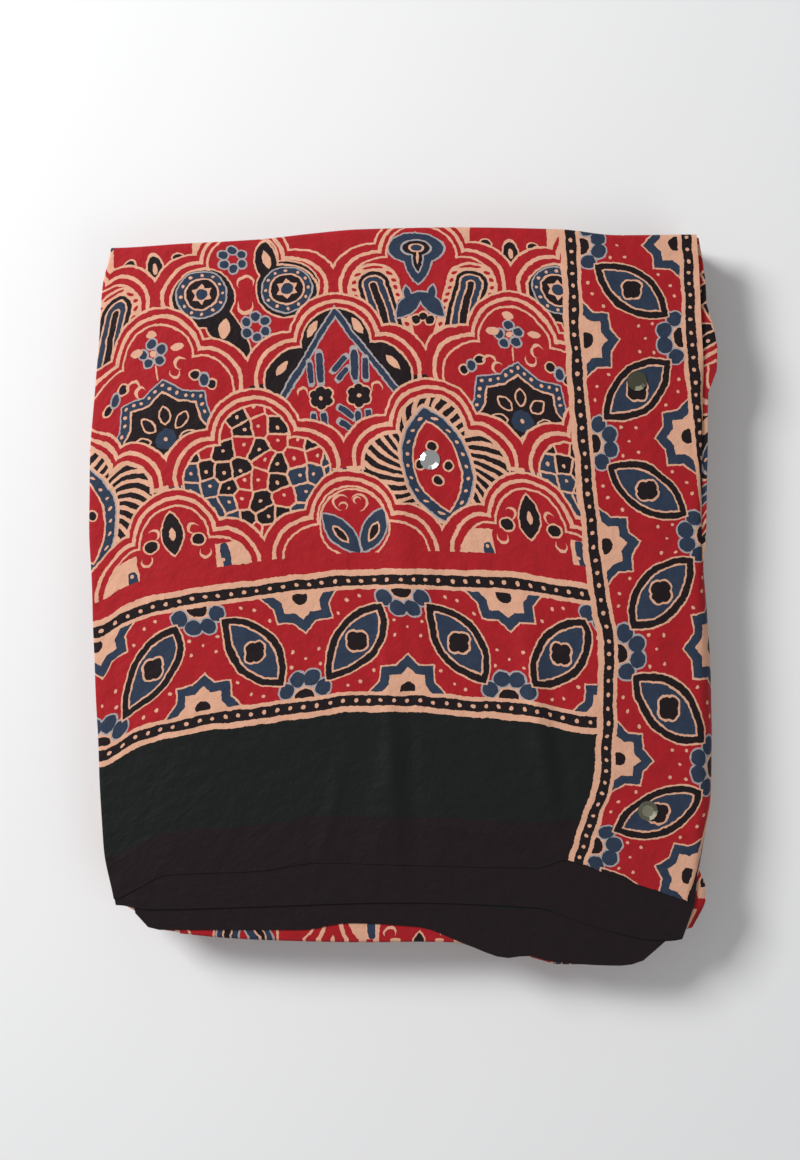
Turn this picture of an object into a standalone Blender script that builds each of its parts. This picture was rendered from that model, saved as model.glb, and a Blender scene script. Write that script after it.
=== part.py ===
"""A block-printed ajrakh cloth folded into a flat packet, with three round mirrors sewn to its face.

The cloth is one sheet folded in four across its width and then back and forth along its length.
Each layer of the packet holds the four plies of the first folding as one thickness.

Metres, +Z up. The origin is on the surface that the packet lies on, under its middle. +X is to
the right and +Y is towards the far folds, so the cloth's free end lies on the -Y side.
"""

import math
from collections import namedtuple

import bmesh
import bpy
from mathutils import Vector

MM = 0.001

# The packet. Tables and sizes below are in millimetres.
LAYER_THICKNESS = 1.3
FOLD_STEPS = 4

# The outline of the packet, seen from above. Sides are rows of (y, x), and ends rows of (x, y).
LEFT_SIDE = ((-158, -134), (-141, -136.5), (-118, -140.5), (-81, -142.5), (-5, -145.6), (34, -147.6),
             (68, -146.8), (115, -143), (146, -140.5), (164, -137), (174, -137))
RIGHT_SIDE = ((-158, 136.5), (-145, 142), (-125, 144.8), (-90, 146.5), (-62, 145.3), (-16, 143.4),
              (17, 142.5), (100, 143), (146, 141.6), (167, 139), (174, 138))
FAR_FOLDS = ((-137, 163.6), (-104, 165.4), (-67, 167.5), (-44, 170.1), (-20, 172.2), (26, 173.1),
             (73, 172.2), (100, 169.5), (138, 170.1))
NEAR_FOLDS = ((-136, -143), (-122, -150), (-95, -157.5), (-17, -161), (36, -162.5), (75, -168.5),
              (103, -169), (121, -160), (138, -154), (142, -145))

# The cut end of the top layer, where the plies stop one after another, and the printed fold that
# shows past them. Rows of (x, y).
FIRST_PLY_END = ((-136.5, -142), (-125, -137), (-111, -130.5), (-68, -128.5), (-39, -124.7),
                 (1, -125.7), (62, -127), (77, -123.3), (100, -130.3), (128, -141.6), (136, -145.5))
MIDDLE_PLY_END = ((-134, -144.8), (-121, -146.7), (-68, -145.3), (-2, -143.4), (62, -145.8),
                  (85, -153.3), (101, -158), (119, -161.5), (130, -160.8), (136, -156))
LAST_PLY_END = ((-133.6, -145.6), (-126, -148.6), (-117.5, -156.5), (-48, -156.5), (-26, -153.3),
                (7, -155.1), (30, -163.6), (49, -169.7), (58, -168.6), (70, -171.5), (103, -173.4),
                (117, -169), (121.5, -162.3), (130, -161.6), (136, -156.8))
PRINTED_FOLD = ((-136, -143.5), (-122, -150.5), (-117, -156.5), (-95, -159.4), (-82, -160.8),
                (-17, -162.6), (17, -162.2), (36, -164.5), (55, -168.2), (75, -173.2), (103, -172.4),
                (115, -168), (122, -160), (138, -155), (142, -145))

# One row for each layer, from the top down: how far inside the outline its left and right sides
# lie, how far inside it the layer turns into the next one, and the gap between the two.
Layer = namedtuple("Layer", "left right turn gap")
LAYERS = (
    Layer(left=0.0, right=5.3, turn=0.0, gap=0.6),
    Layer(left=1.5, right=0.0, turn=0.0, gap=0.55),
    Layer(left=2.5, right=1.5, turn=2.0, gap=0.75),
    Layer(left=1.0, right=2.5, turn=1.5, gap=0.55),
    Layer(left=3.0, right=1.0, turn=1.0, gap=0.6),
    Layer(left=2.0, right=3.0, turn=2.5, gap=0.8),
    Layer(left=0.8, right=0.5, turn=3.0, gap=0.55),
    Layer(left=2.8, right=2.2, turn=0.8, gap=0.6),
    Layer(left=1.8, right=3.4, turn=1.5, gap=0.55),
    Layer(left=3.4, right=1.2, turn=3.0, gap=0.7),
    Layer(left=1.2, right=2.0, turn=2.5, gap=0.55),
    Layer(left=2.6, right=0.8, turn=1.8, gap=0.65),
    Layer(left=0.6, right=2.8, turn=0.8, gap=0.55),
    Layer(left=2.2, right=1.6, turn=3.5, gap=0.6),
    Layer(left=1.6, right=0.6, turn=2.2, gap=0.55),
    Layer(left=0.9, right=2.4, turn=1.0, gap=0.0),
)
LAST = len(LAYERS) - 1

# The loose loop of the second layer that bulges out of the right side.
Bulge = namedtuple("Bulge", "layer y half_length reach")
SIDE_BULGE = Bulge(layer=1, y=115.0, half_length=15.0, reach=4.6)

# Soft ridges of the top of the stack. They fade out down to the flat underside.
Crease = namedtuple("Crease", "x y turn half_length half_width height")
CREASES = (
    Crease(x=-1.0, y=30.0, turn=2.0, half_length=70.0, half_width=8.0, height=1.5),
    Crease(x=-9.0, y=-95.0, turn=-8.0, half_length=34.0, half_width=6.0, height=1.0),
    Crease(x=62.0, y=-52.0, turn=6.0, half_length=40.0, half_width=7.0, height=1.1),
    Crease(x=-95.0, y=40.0, turn=12.0, half_length=75.0, half_width=26.0, height=0.8),
    Crease(x=78.0, y=95.0, turn=-5.0, half_length=60.0, half_width=20.0, height=0.7),
)

# How far the top of the stack drops towards each side of the outline, and over what width.
Drop = namedtuple("Drop", "towards start run depth")
DROPS = (
    Drop(towards=(1, 0), start=84.0, run=62.0, depth=2.3),
    Drop(towards=(-1, 0), start=100.0, run=48.0, depth=1.3),
    Drop(towards=(0, -1), start=116.0, run=56.0, depth=1.4),
    Drop(towards=(0, 1), start=130.0, run=44.0, depth=1.0),
)

# Where the columns and rows of the folded sheet's faces lie, as shares of its width and length.
COLUMNS = (0.0, 0.04, 0.072, 0.18, 0.32, 0.42, 0.47, 0.505, 0.55, 0.61, 0.675, 0.75, 0.83, 0.90,
           0.93, 0.965, 1.0)
TOP_ROWS = (0.08, 0.18, 0.30, 0.42, 0.54, 0.66, 0.78, 0.90)
BULGED_ROWS = (0.11, 0.16, 0.21, 0.45, 0.72)
PLAIN_ROWS = (0.25, 0.5, 0.75)
PLY_STEP = LAYER_THICKNESS / 4
PLY_STEP_RUN = 0.8

# The mirrors.
Mirror = namedtuple("Mirror", "name x y")
MIRRORS = (
    Mirror("mirror_field", 12.4, 63.9),
    Mirror("mirror_border_far", 109.3, 100.9),
    Mirror("mirror_border_near", 114.4, -100.4),
)
MIRROR_DIAMETER = 9.4
MIRROR_THICKNESS = 1.1
MIRROR_BEVEL = 0.45
MIRROR_SIDES = 32
MIRROR_CLEARANCE = 0.4

Row = namedtuple("Row", "layer along angle thickness", defaults=(None, LAYER_THICKNESS))


def interpolate(table, at):
    """The second column of a table of two columns, read at a value of the first."""
    if at <= table[0][0]:
        return table[0][1]
    for (low, before), (high, after) in zip(table, table[1:]):
        if at <= high:
            return before + (after - before) * (at - low) / (high - low)
    return table[-1][1]


def smooth_step(share):
    share = min(max(share, 0.0), 1.0)
    return share * share * (3 - 2 * share)


def relief(x, y):
    """How far the top of the stack stands above or below a flat one."""
    height = 0.0
    for crease in CREASES:
        turn = math.radians(crease.turn)
        across = (x - crease.x) * math.cos(turn) + (y - crease.y) * math.sin(turn)
        along = (y - crease.y) * math.cos(turn) - (x - crease.x) * math.sin(turn)
        height += crease.height * math.exp(-((across / crease.half_width) ** 2)
                                           - (along / crease.half_length) ** 4)
    for drop in DROPS:
        distance = x * drop.towards[0] + y * drop.towards[1] - drop.start
        height -= drop.depth * smooth_step(distance / drop.run)
    return height


def lift(layer, x, y):
    """The relief of a layer, which is the whole of it at the top and none at the bottom."""
    return relief(x, y) * (1 - layer / LAST)


def pitch(layer):
    """How far apart the middles of this layer and the next one are."""
    return LAYER_THICKNESS + LAYERS[layer].gap


def layer_middle(layer):
    return LAYER_THICKNESS / 2 + sum(pitch(below) for below in range(layer, LAST))


def turn_reach(layer):
    """How far the turn below a layer reaches past the ends of its two straight parts."""
    return pitch(layer) / 2 + LAYER_THICKNESS / 2


def side(layer, share, y):
    """The x of a point of a layer, at a share of its width from the left side."""
    left = interpolate(LEFT_SIDE, y) + LAYERS[layer].left
    right = interpolate(RIGHT_SIDE, y) - LAYERS[layer].right
    if layer == SIDE_BULGE.layer:
        away = (y - SIDE_BULGE.y) / SIDE_BULGE.half_length
        right += SIDE_BULGE.reach * math.exp(-away ** 4)
    return left + share * (right - left)


def far_turn(layer):
    """The upper one of the two layers that join at this layer's far fold."""
    return layer - layer % 2


def near_turn(layer):
    """The upper one of the two layers that join at this layer's near fold."""
    return layer - (layer + 1) % 2


def far_reach(layer, x):
    """The y of the outside of this layer's far fold."""
    return interpolate(FAR_FOLDS, x) - LAYERS[far_turn(layer)].turn


def near_reach(layer, x):
    """The y of the outside of this layer's near fold, or of its free end."""
    if layer == 0:
        return interpolate(LAST_PLY_END, x)
    upper = near_turn(layer)
    outline = PRINTED_FOLD if upper == 1 else NEAR_FOLDS
    return interpolate(outline, x) + LAYERS[upper].turn


def free_end_rows():
    """The end of the top layer. Its top steps down where the first ply stops, and again further on."""
    full, middle, last = (LAYER_THICKNESS - steps * PLY_STEP for steps in (0, 1, 2))
    return [
        Row(0, (LAST_PLY_END, 0.0), thickness=last),
        Row(0, (MIDDLE_PLY_END, -PLY_STEP_RUN / 2), thickness=last),
        Row(0, (MIDDLE_PLY_END, PLY_STEP_RUN / 2), thickness=middle),
        Row(0, (FIRST_PLY_END, -PLY_STEP_RUN / 2), thickness=middle),
        Row(0, (FIRST_PLY_END, PLY_STEP_RUN / 2), thickness=full),
    ]


def section_rows():
    """The rows of the sheet's faces in order, from the free end on top to the one at the bottom."""
    rows = free_end_rows()
    for layer in range(len(LAYERS)):
        if layer == 0:
            inner = TOP_ROWS
        elif layer == SIDE_BULGE.layer:
            inner = BULGED_ROWS
        else:
            inner = PLAIN_ROWS
        rows += [Row(layer, share) for share in inner]
        if layer < LAST:
            rows += [Row(layer, 1.0, 180 * step / FOLD_STEPS) for step in range(FOLD_STEPS + 1)]
    rows.append(Row(LAST, 1.0))
    return rows


def straight_span(layer, x):
    """The y where the straight part of a layer starts on the near side and ends on the far side."""
    if layer == 0:
        near = interpolate(FIRST_PLY_END, x)
    elif layer == LAST:
        near = near_reach(layer, x)
    else:
        near = near_reach(layer, x) + turn_reach(near_turn(layer))
    return near, far_reach(layer, x) - turn_reach(far_turn(layer))


def straight_point(row, x):
    """(y, heading) of a row on the straight part of its layer."""
    goes_far = row.layer % 2 == 0
    heading = 0.0 if goes_far else math.pi
    if isinstance(row.along, tuple):
        line, offset = row.along
        return max(interpolate(line, x) + offset, near_reach(0, x) + 0.05), heading
    near, far = straight_span(row.layer, x)
    share = row.along if goes_far else 1 - row.along
    return near + share * (far - near), heading


def turn_point(row, x):
    """(y, height above the middle of the turn, heading) of a row on the turn below its layer."""
    turned = math.radians(row.angle)
    radius = pitch(row.layer) / 2
    if row.layer % 2 == 0:
        y = far_reach(row.layer, x) - turn_reach(row.layer) + radius * math.sin(turned)
        heading = -turned
    else:
        y = near_reach(row.layer, x) + turn_reach(row.layer) - radius * math.sin(turned)
        heading = math.pi + turned
    return y, radius * math.cos(turned), heading


def both_faces(row, share):
    """The points of a row on the two faces of the layer, at a share of the sheet's width."""
    x = side(row.layer, share, 0.0)
    for _ in range(4):
        y = straight_point(row, x)[0] if row.angle is None else turn_point(row, x)[0]
        x = side(row.layer, share, y)
        if row.angle is not None:
            x += (side(row.layer + 1, share, y) - x) * row.angle / 180
    if row.angle is None:
        y, heading = straight_point(row, x)
        under = layer_middle(row.layer) - LAYER_THICKNESS / 2
        z = under + row.thickness / 2 + lift(row.layer, x, y)
    else:
        y, height, heading = turn_point(row, x)
        between = row.layer + row.angle / 180
        z = layer_middle(row.layer) - pitch(row.layer) / 2 + height + lift(between, x, y)
    reach = row.thickness / 2
    step = Vector((0.0, -math.sin(heading) * reach, math.cos(heading) * reach))
    middle = Vector((x, y, z))
    return (middle + step) * MM, (middle - step) * MM


def folded_sheet():
    """The sheet as one closed mesh: two faces, its cut ends and its long sides."""
    rows = section_rows()
    bm = bmesh.new()
    columns = []
    for share in COLUMNS:
        faces = [both_faces(row, share) for row in rows]
        columns.append([[bm.verts.new(point) for point in pair] for pair in faces])
    for one, other in zip(columns, columns[1:]):
        for (a_up, a_down), (b_up, b_down), (c_up, c_down), (d_up, d_down) in zip(
                one, one[1:], other[1:], other):
            bm.faces.new((a_up, d_up, c_up, b_up))
            bm.faces.new((a_down, b_down, c_down, d_down))
        bm.faces.new((one[0][0], one[0][1], other[0][1], other[0][0]))
        bm.faces.new((one[-1][0], other[-1][0], other[-1][1], one[-1][1]))
    for column, left in ((columns[0], True), (columns[-1], False)):
        for (a_up, a_down), (b_up, b_down) in zip(column, column[1:]):
            corners = (a_up, b_up, b_down, a_down)
            bm.faces.new(corners if left else corners[::-1])
    bmesh.ops.recalc_face_normals(bm, faces=bm.faces)
    mesh = bpy.data.meshes.new("cloth")
    bm.to_mesh(mesh)
    bm.free()
    return mesh


def cloth_top(x, y):
    """The height of the cloth's upper face."""
    return layer_middle(0) + LAYER_THICKNESS / 2 + relief(x, y)


def mirror_disc():
    """A round flat disc with its base at its origin, whose top edge is bevelled by its modifier."""
    mesh = bpy.data.meshes.new("mirror")
    bm = bmesh.new()
    bmesh.ops.create_cone(bm, cap_ends=True, segments=MIRROR_SIDES, radius1=MIRROR_DIAMETER / 2 * MM,
                          radius2=MIRROR_DIAMETER / 2 * MM, depth=MIRROR_THICKNESS * MM)
    bmesh.ops.translate(bm, verts=bm.verts, vec=(0, 0, MIRROR_THICKNESS / 2 * MM))
    weights = bm.edges.layers.float.new("bevel_weight_edge")
    for edge in bm.edges:
        if all(vertex.co.z > MIRROR_THICKNESS * MM * 0.9 for vertex in edge.verts):
            edge[weights] = 1.0
    bm.to_mesh(mesh)
    bm.free()
    return mesh


def material(name, color, roughness, metallic=0.0):
    made = bpy.data.materials.new(name)
    made.use_nodes = True
    shader = made.node_tree.nodes["Principled BSDF"]
    shader.inputs["Base Color"].default_value = (*color, 1.0)
    shader.inputs["Roughness"].default_value = roughness
    shader.inputs["Metallic"].default_value = metallic
    made.diffuse_color = (*color, 1.0)
    return made


def add_object(name, mesh, collection, finish):
    made = bpy.data.objects.new(name, mesh)
    mesh.materials.clear()
    mesh.materials.append(finish)
    collection.objects.link(made)
    return made


def build_cloth(collection):
    printed = material("printed_cloth", (0.36, 0.03, 0.03), 0.85)
    cloth = add_object("cloth", folded_sheet(), collection, printed)
    cloth.data.set_sharp_from_angle(angle=math.radians(40))
    return cloth


def build_mirrors(collection):
    """Each mirror lies along the slope of the cloth under it, just clear of it."""
    silvered = material("mirror_glass", (0.75, 0.76, 0.74), 0.08, metallic=1.0)
    reach = MIRROR_DIAMETER / 2
    for mirror in MIRRORS:
        x, y = mirror.x, mirror.y
        slope_x = (cloth_top(x + reach, y) - cloth_top(x - reach, y)) / (2 * reach)
        slope_y = (cloth_top(x, y + reach) - cloth_top(x, y - reach)) / (2 * reach)
        around = [math.tau * step / MIRROR_SIDES for step in range(MIRROR_SIDES)]
        rim = [(reach * math.cos(angle), reach * math.sin(angle)) for angle in around]
        base = max(cloth_top(x + across, y + along) - slope_x * across - slope_y * along
                   for across, along in [(0, 0), *rim])
        made = add_object(mirror.name, mirror_disc(), collection, silvered)
        made.location = Vector((x, y, base + MIRROR_CLEARANCE)) * MM
        up = Vector((-slope_x, -slope_y, 1.0)).normalized()
        made.rotation_euler = Vector((0, 0, 1)).rotation_difference(up).to_euler()
        bevel = made.modifiers.new("rounded edge", "BEVEL")
        bevel.limit_method = "WEIGHT"
        bevel.width = MIRROR_BEVEL * MM
        bevel.segments = 2


def main():
    for old in list(bpy.data.objects):
        bpy.data.objects.remove(old)
    collection = bpy.data.collections.new("folded_ajrakh_cloth")
    bpy.context.scene.collection.children.link(collection)
    build_cloth(collection)
    build_mirrors(collection)


main()
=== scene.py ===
"""The looks of the folded ajrakh cloth: its thin plies, its block print and its sewn mirrors.

Tables and sizes of the cloth are in millimetres, and those of the print in squares of the
printer's block, of which eighteen are about as wide as one scale of the field.
"""

import math
from collections import namedtuple

import bmesh
import bpy
import numpy as np
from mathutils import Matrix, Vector


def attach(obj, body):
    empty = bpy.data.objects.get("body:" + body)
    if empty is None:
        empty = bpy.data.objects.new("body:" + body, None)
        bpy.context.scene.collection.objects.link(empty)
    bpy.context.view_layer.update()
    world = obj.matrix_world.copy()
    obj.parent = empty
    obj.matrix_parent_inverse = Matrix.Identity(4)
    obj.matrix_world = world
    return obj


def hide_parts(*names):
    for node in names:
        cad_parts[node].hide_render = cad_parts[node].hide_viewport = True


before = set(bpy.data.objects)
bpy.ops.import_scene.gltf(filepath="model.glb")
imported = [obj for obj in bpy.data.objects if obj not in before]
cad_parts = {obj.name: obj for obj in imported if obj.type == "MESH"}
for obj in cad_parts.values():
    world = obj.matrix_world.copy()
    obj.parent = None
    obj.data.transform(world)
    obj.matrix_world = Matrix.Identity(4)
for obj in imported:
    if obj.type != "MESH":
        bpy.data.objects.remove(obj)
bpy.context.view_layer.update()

MM = 0.001

# The outline of the packet, seen from above. Sides are rows of (y, x), and ends rows of (x, y).
LEFT_SIDE = ((-158, -134), (-141, -136.5), (-118, -140.5), (-81, -142.5), (-5, -145.6), (34, -147.6),
             (68, -146.8), (115, -143), (146, -140.5), (164, -137), (174, -137))
RIGHT_SIDE = ((-158, 136.5), (-145, 142), (-125, 144.8), (-90, 146.5), (-62, 145.3), (-16, 143.4),
              (17, 142.5), (100, 143), (146, 141.6), (167, 139), (174, 138))
FAR_FOLDS = ((-137, 163.6), (-104, 165.4), (-67, 167.5), (-44, 170.1), (-20, 172.2), (26, 173.1),
             (73, 172.2), (100, 169.5), (138, 170.1))
NEAR_FOLDS = ((-136, -143), (-122, -150), (-95, -157.5), (-17, -161), (36, -162.5), (75, -168.5),
              (103, -169), (121, -160), (138, -154), (142, -145))

# The cut end, where the plies stop one after another, and the printed fold that shows past them.
FIRST_PLY_END = ((-136.5, -142), (-125, -137), (-111, -130.5), (-68, -128.5), (-39, -124.7),
                 (1, -125.7), (62, -127), (77, -123.3), (100, -130.3), (128, -141.6), (136, -145.5))
MIDDLE_PLY_END = ((-134, -144.8), (-121, -146.7), (-68, -145.3), (-2, -143.4), (62, -145.8),
                  (85, -153.3), (101, -158), (119, -161.5), (130, -160.8), (136, -156))
LAST_PLY_END = ((-133.6, -145.6), (-126, -148.6), (-117.5, -156.5), (-48, -156.5), (-26, -153.3),
                (7, -155.1), (30, -163.6), (49, -169.7), (58, -168.6), (70, -171.5), (103, -173.4),
                (117, -169), (121.5, -162.3), (130, -161.6), (136, -156.8))
PRINTED_FOLD = ((-136, -143.5), (-122, -150.5), (-117, -156.5), (-95, -159.4), (-82, -160.8),
                (-17, -162.6), (17, -162.2), (36, -164.5), (55, -168.2), (75, -173.2), (103, -172.4),
                (115, -168), (122, -160), (138, -155), (142, -145))

# One row for each layer, from the top down: how far inside the outline its left and right sides
# lie, how far inside it the layer turns into the next one, and the gap between the two.
Layer = namedtuple("Layer", "left right turn gap")
LAYERS = (
    Layer(left=0.0, right=5.3, turn=0.0, gap=0.6),
    Layer(left=1.5, right=0.0, turn=0.0, gap=0.55),
    Layer(left=2.5, right=1.5, turn=2.0, gap=0.75),
    Layer(left=1.0, right=2.5, turn=1.5, gap=0.55),
    Layer(left=3.0, right=1.0, turn=1.0, gap=0.6),
    Layer(left=2.0, right=3.0, turn=2.5, gap=0.8),
    Layer(left=0.8, right=0.5, turn=3.0, gap=0.55),
    Layer(left=2.8, right=2.2, turn=0.8, gap=0.6),
    Layer(left=1.8, right=3.4, turn=1.5, gap=0.55),
    Layer(left=3.4, right=1.2, turn=3.0, gap=0.7),
    Layer(left=1.2, right=2.0, turn=2.5, gap=0.55),
    Layer(left=2.6, right=0.8, turn=1.8, gap=0.65),
    Layer(left=0.6, right=2.8, turn=0.8, gap=0.55),
    Layer(left=2.2, right=1.6, turn=3.5, gap=0.6),
    Layer(left=1.6, right=0.6, turn=2.2, gap=0.55),
    Layer(left=0.9, right=2.4, turn=1.0, gap=0.0),
)
LAST = len(LAYERS) - 1
LAYER_THICKNESS = 1.3
PLY_PITCH = 0.42
SHEET_THICKNESS = 0.22
REST_LIFT = 0.12

# The loose loop of the second layer that bulges out of the right side.
Bulge = namedtuple("Bulge", "layer y half_length reach")
SIDE_BULGE = Bulge(layer=1, y=115.0, half_length=15.0, reach=4.6)

# Soft ridges and troughs of the top of the stack. They fade out down to the flat underside.
Crease = namedtuple("Crease", "x y turn half_length half_width height")
CREASES = (
    Crease(x=-1.0, y=30.0, turn=2.0, half_length=70.0, half_width=8.0, height=1.5),
    Crease(x=-9.0, y=-95.0, turn=-8.0, half_length=34.0, half_width=6.0, height=1.0),
    Crease(x=62.0, y=-52.0, turn=6.0, half_length=40.0, half_width=7.0, height=1.1),
    Crease(x=-95.0, y=40.0, turn=12.0, half_length=75.0, half_width=26.0, height=0.8),
    Crease(x=78.0, y=95.0, turn=-5.0, half_length=60.0, half_width=20.0, height=0.7),
    Crease(x=-6.0, y=-72.0, turn=3.0, half_length=78.0, half_width=3.2, height=0.75),
    Crease(x=3.5, y=-66.0, turn=2.0, half_length=70.0, half_width=3.6, height=-0.6),
    Crease(x=12.0, y=20.0, turn=-4.0, half_length=62.0, half_width=3.0, height=0.45),
    Crease(x=64.0, y=-66.0, turn=9.0, half_length=46.0, half_width=3.4, height=0.75),
    Crease(x=72.0, y=-60.0, turn=7.0, half_length=42.0, half_width=3.6, height=-0.55),
    Crease(x=-33.0, y=-98.0, turn=-12.0, half_length=26.0, half_width=3.4, height=0.55),
    Crease(x=20.0, y=-108.0, turn=80.0, half_length=40.0, half_width=2.8, height=0.3),
    Crease(x=118.0, y=10.0, turn=3.0, half_length=70.0, half_width=4.0, height=0.5),
)

# How far the top of the stack drops towards each side of the outline, and over what width.
Drop = namedtuple("Drop", "towards start run depth")
DROPS = (
    Drop(towards=(1, 0), start=84.0, run=62.0, depth=2.3),
    Drop(towards=(-1, 0), start=100.0, run=48.0, depth=1.3),
    Drop(towards=(0, -1), start=116.0, run=56.0, depth=1.4),
    Drop(towards=(0, 1), start=130.0, run=44.0, depth=1.0),
)

# The print lies askew on the top ply. These are where its main lines run, as rows of (x, y), the
# inner edge of the border along the selvedge, as rows of (y, x), and how the border leans.
BLOCK = 4.68
BORDER_WIDTH = 14.4 * BLOCK
DARK_END = 15.2 * BLOCK
FIELD_START = DARK_END + BORDER_WIDTH
LOWER_LINE = ((-145, -80.5), (-120, -69), (-95, -63.5), (-55, -58.3), (-20, -54.1), (0, -54.1),
              (25, -56), (55, -58.2), (90, -64.5))
UPPER_LINE = ((-145, -12), (-130, -3.5), (-115, 0.8), (-95, 4.3), (-72, 7.7), (-48, 10.5),
              (-25, 12.6), (0, 13.3), (22, 12.9), (45, 11.9), (73, 8.2), (90, 5.5))
FIELD_STRETCH = ((-145, 1.03), (-115, 1.019), (-33, 0.989), (52, 1.0), (90, 1.0))
FAR_START, FAR_SQUEEZE = 138.0, 0.12
INNER_EDGE = ((-123.3, 77.0), (-115.4, 79.3), (-100.9, 84.0), (-84, 89.3), (-65.3, 90.1),
              (-43.8, 90.8), (-22.2, 91.0), (-7.7, 88.2), (6.8, 85.9), (27.8, 83.5), (63.9, 79.7),
              (86.3, 77.7), (122.9, 75.1), (151.9, 74.0), (175, 72.8))
BORDER_LEAN = ((0, -19.5), (25, -15), (50, -8), (75, -2), (100, 3), (130, 7), (160, 6), (200, 4),
               (250, 2), (300, 1))
BORDER_SQUEEZE = ((0, 1.0), (150, 1.0), (190, 0.97), (300, 0.96))

# The selvedge side of the top ply rounds down over the side of the packet. Rows of (y, x) for
# where it is furthest out, and of (y, radius).
SHOULDER = ((-146, 135), (-128, 138.8), (-114, 141.6), (-95, 145.2), (-67, 145.7), (-39, 145.2),
            (-11, 143.4), (17, 140.9), (45, 140.2), (78, 140.4), (125, 141.2), (175, 141.5))
SHOULDER_RADIUS = ((-146, 1.5), (-125, 3.0), (-95, 7.0), (-50, 8.0), (-11, 6.0), (17, 3.5),
                   (45, 2.0), (78, 1.5), (175, 1.5))

PLY_WIDTH = 280.0
LAYER_RUN = 333.0
TOP_CELL = 1.9


def read(table, at):
    """A smooth curve through a table's rows that never swings past them, read at its first column."""
    places, values = np.array(table, float).T
    at = np.clip(at, places[0], places[-1])
    steps = np.diff(values) / np.diff(places)
    before, after = np.concatenate([[0.0], steps]), np.concatenate([steps, [0.0]])
    same = before * after > 0
    slopes = np.where(same, 2 * before * after / np.where(same, before + after, 1.0), 0.0)
    row = np.clip(np.searchsorted(places, at) - 1, 0, len(places) - 2)
    run = places[row + 1] - places[row]
    t = (at - places[row]) / run
    return ((1 + 2 * t) * (1 - t) ** 2 * values[row] + t * (1 - t) ** 2 * run * slopes[row]
            + t * t * (3 - 2 * t) * values[row + 1] + t * t * (t - 1) * run * slopes[row + 1])


def smooth_step(share):
    share = np.clip(share, 0.0, 1.0)
    return share * share * (3 - 2 * share)


def relief(x, y):
    """How far the top of the stack stands above or below a flat one."""
    height = 0.0
    for crease in CREASES:
        turn = math.radians(crease.turn)
        across = (x - crease.x) * math.cos(turn) + (y - crease.y) * math.sin(turn)
        along = (y - crease.y) * math.cos(turn) - (x - crease.x) * math.sin(turn)
        height = height + crease.height * np.exp(-((across / crease.half_width) ** 2)
                                                 - (along / crease.half_length) ** 4)
    for drop in DROPS:
        distance = x * drop.towards[0] + y * drop.towards[1] - drop.start
        height = height - drop.depth * smooth_step(distance / drop.run)
    return height


def pitch(layer):
    """How far apart the middles of this layer and the next one are."""
    return LAYER_THICKNESS + LAYERS[layer].gap


def layer_middle(layer):
    return REST_LIFT + LAYER_THICKNESS / 2 + sum(pitch(below) for below in range(layer, LAST))


def turn_reach(layer):
    """How far the turn below a layer reaches past the ends of its two straight parts."""
    return pitch(layer) / 2 + LAYER_THICKNESS / 2


def waver(layer, y, size):
    """The slow unevenness of a layer's long sides."""
    start = 2.399 * layer
    return size * (np.sin(y / 31.0 + start) + 0.6 * np.sin(y / 13.7 + 2.7 * start)
                   + 0.35 * np.sin(y / 6.1 + 4.1 * start)) / 1.95


def left_side(layer, y):
    return read(LEFT_SIDE, y) + LAYERS[layer].left + waver(layer, y, 0.5)


def right_side(layer, y):
    """The right side of a layer, which keeps inside the top ply where that rounds down."""
    side = read(RIGHT_SIDE, y) - LAYERS[layer].right + waver(layer + 0.5, y, 0.5)
    if layer == SIDE_BULGE.layer:
        side = side + SIDE_BULGE.reach * np.exp(-((y - SIDE_BULGE.y) / SIDE_BULGE.half_length) ** 4)
    radius = read(SHOULDER_RADIUS, y)
    depth = np.minimum(layer_middle(0) - layer_middle(layer) + PLY_PITCH, radius)
    room = read(SHOULDER, y) - radius + np.sqrt(radius ** 2 - (radius - depth) ** 2) - 0.8
    hanging = smooth_step((30 - y) / 25) * smooth_step((y + 140) / 15)
    return side + np.minimum(room - side, 0.0) * hanging


def far_reach(layer, x):
    """The y of the outside of this layer's far fold."""
    return read(FAR_FOLDS, x) - LAYERS[layer - layer % 2].turn


def near_reach(layer, x):
    """The y of the outside of this layer's near fold."""
    upper = layer - (layer + 1) % 2
    outline = PRINTED_FOLD if upper == 1 else NEAR_FOLDS
    return read(outline, x) + LAYERS[upper].turn


# The section across the bundle. A column stands at a share of the layer's width, moved by dx, and
# w above the layer's middle on the printed side of the first ply. ends are the shares that the
# ends of the first, middle and last plies have in where its own cut end lies.
Column = namedtuple("Column", "share dx w ends u")
FIRST, MIDDLE, LAST_PLY = (1, 0, 0), (0, 1, 0), (0, 0, 1)
PLY_SHARES = (0.0, 0.012, 0.03, 0.05, *(0.01 * step for step in range(7, 95, 2)), 0.97, 0.988, 1.0)
LOWER_SHARES = (0.0, 0.03, *(0.01 * step for step in range(10, 95, 6)), 0.97, 1.0)
FOLD_TURNS = (30, 60, 90, 120, 150)


def ply(w, ends, u, leftwards, shares, start=0.0):
    """The columns of one flat ply."""
    columns = []
    for share in shares:
        if share >= start:
            columns.append(Column(1 - share if leftwards else share, 0.0, w, ends, u + share * PLY_WIDTH))
    return columns


def side_fold(share, radius, middle, before, after, u):
    """The columns round the fold that joins two plies, at the left where share is 0."""
    out = -1 if share == 0 else 1
    columns = []
    for turned in FOLD_TURNS:
        angle = math.radians(turned)
        ends = tuple(b + (a - b) * turned / 180 for b, a in zip(before, after))
        up = 1 if out < 0 or radius < 0 else -1
        columns.append(Column(share, out * abs(radius) * math.sin(angle),
                              middle + up * abs(radius) * math.cos(angle), ends, u))
    return columns


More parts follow.
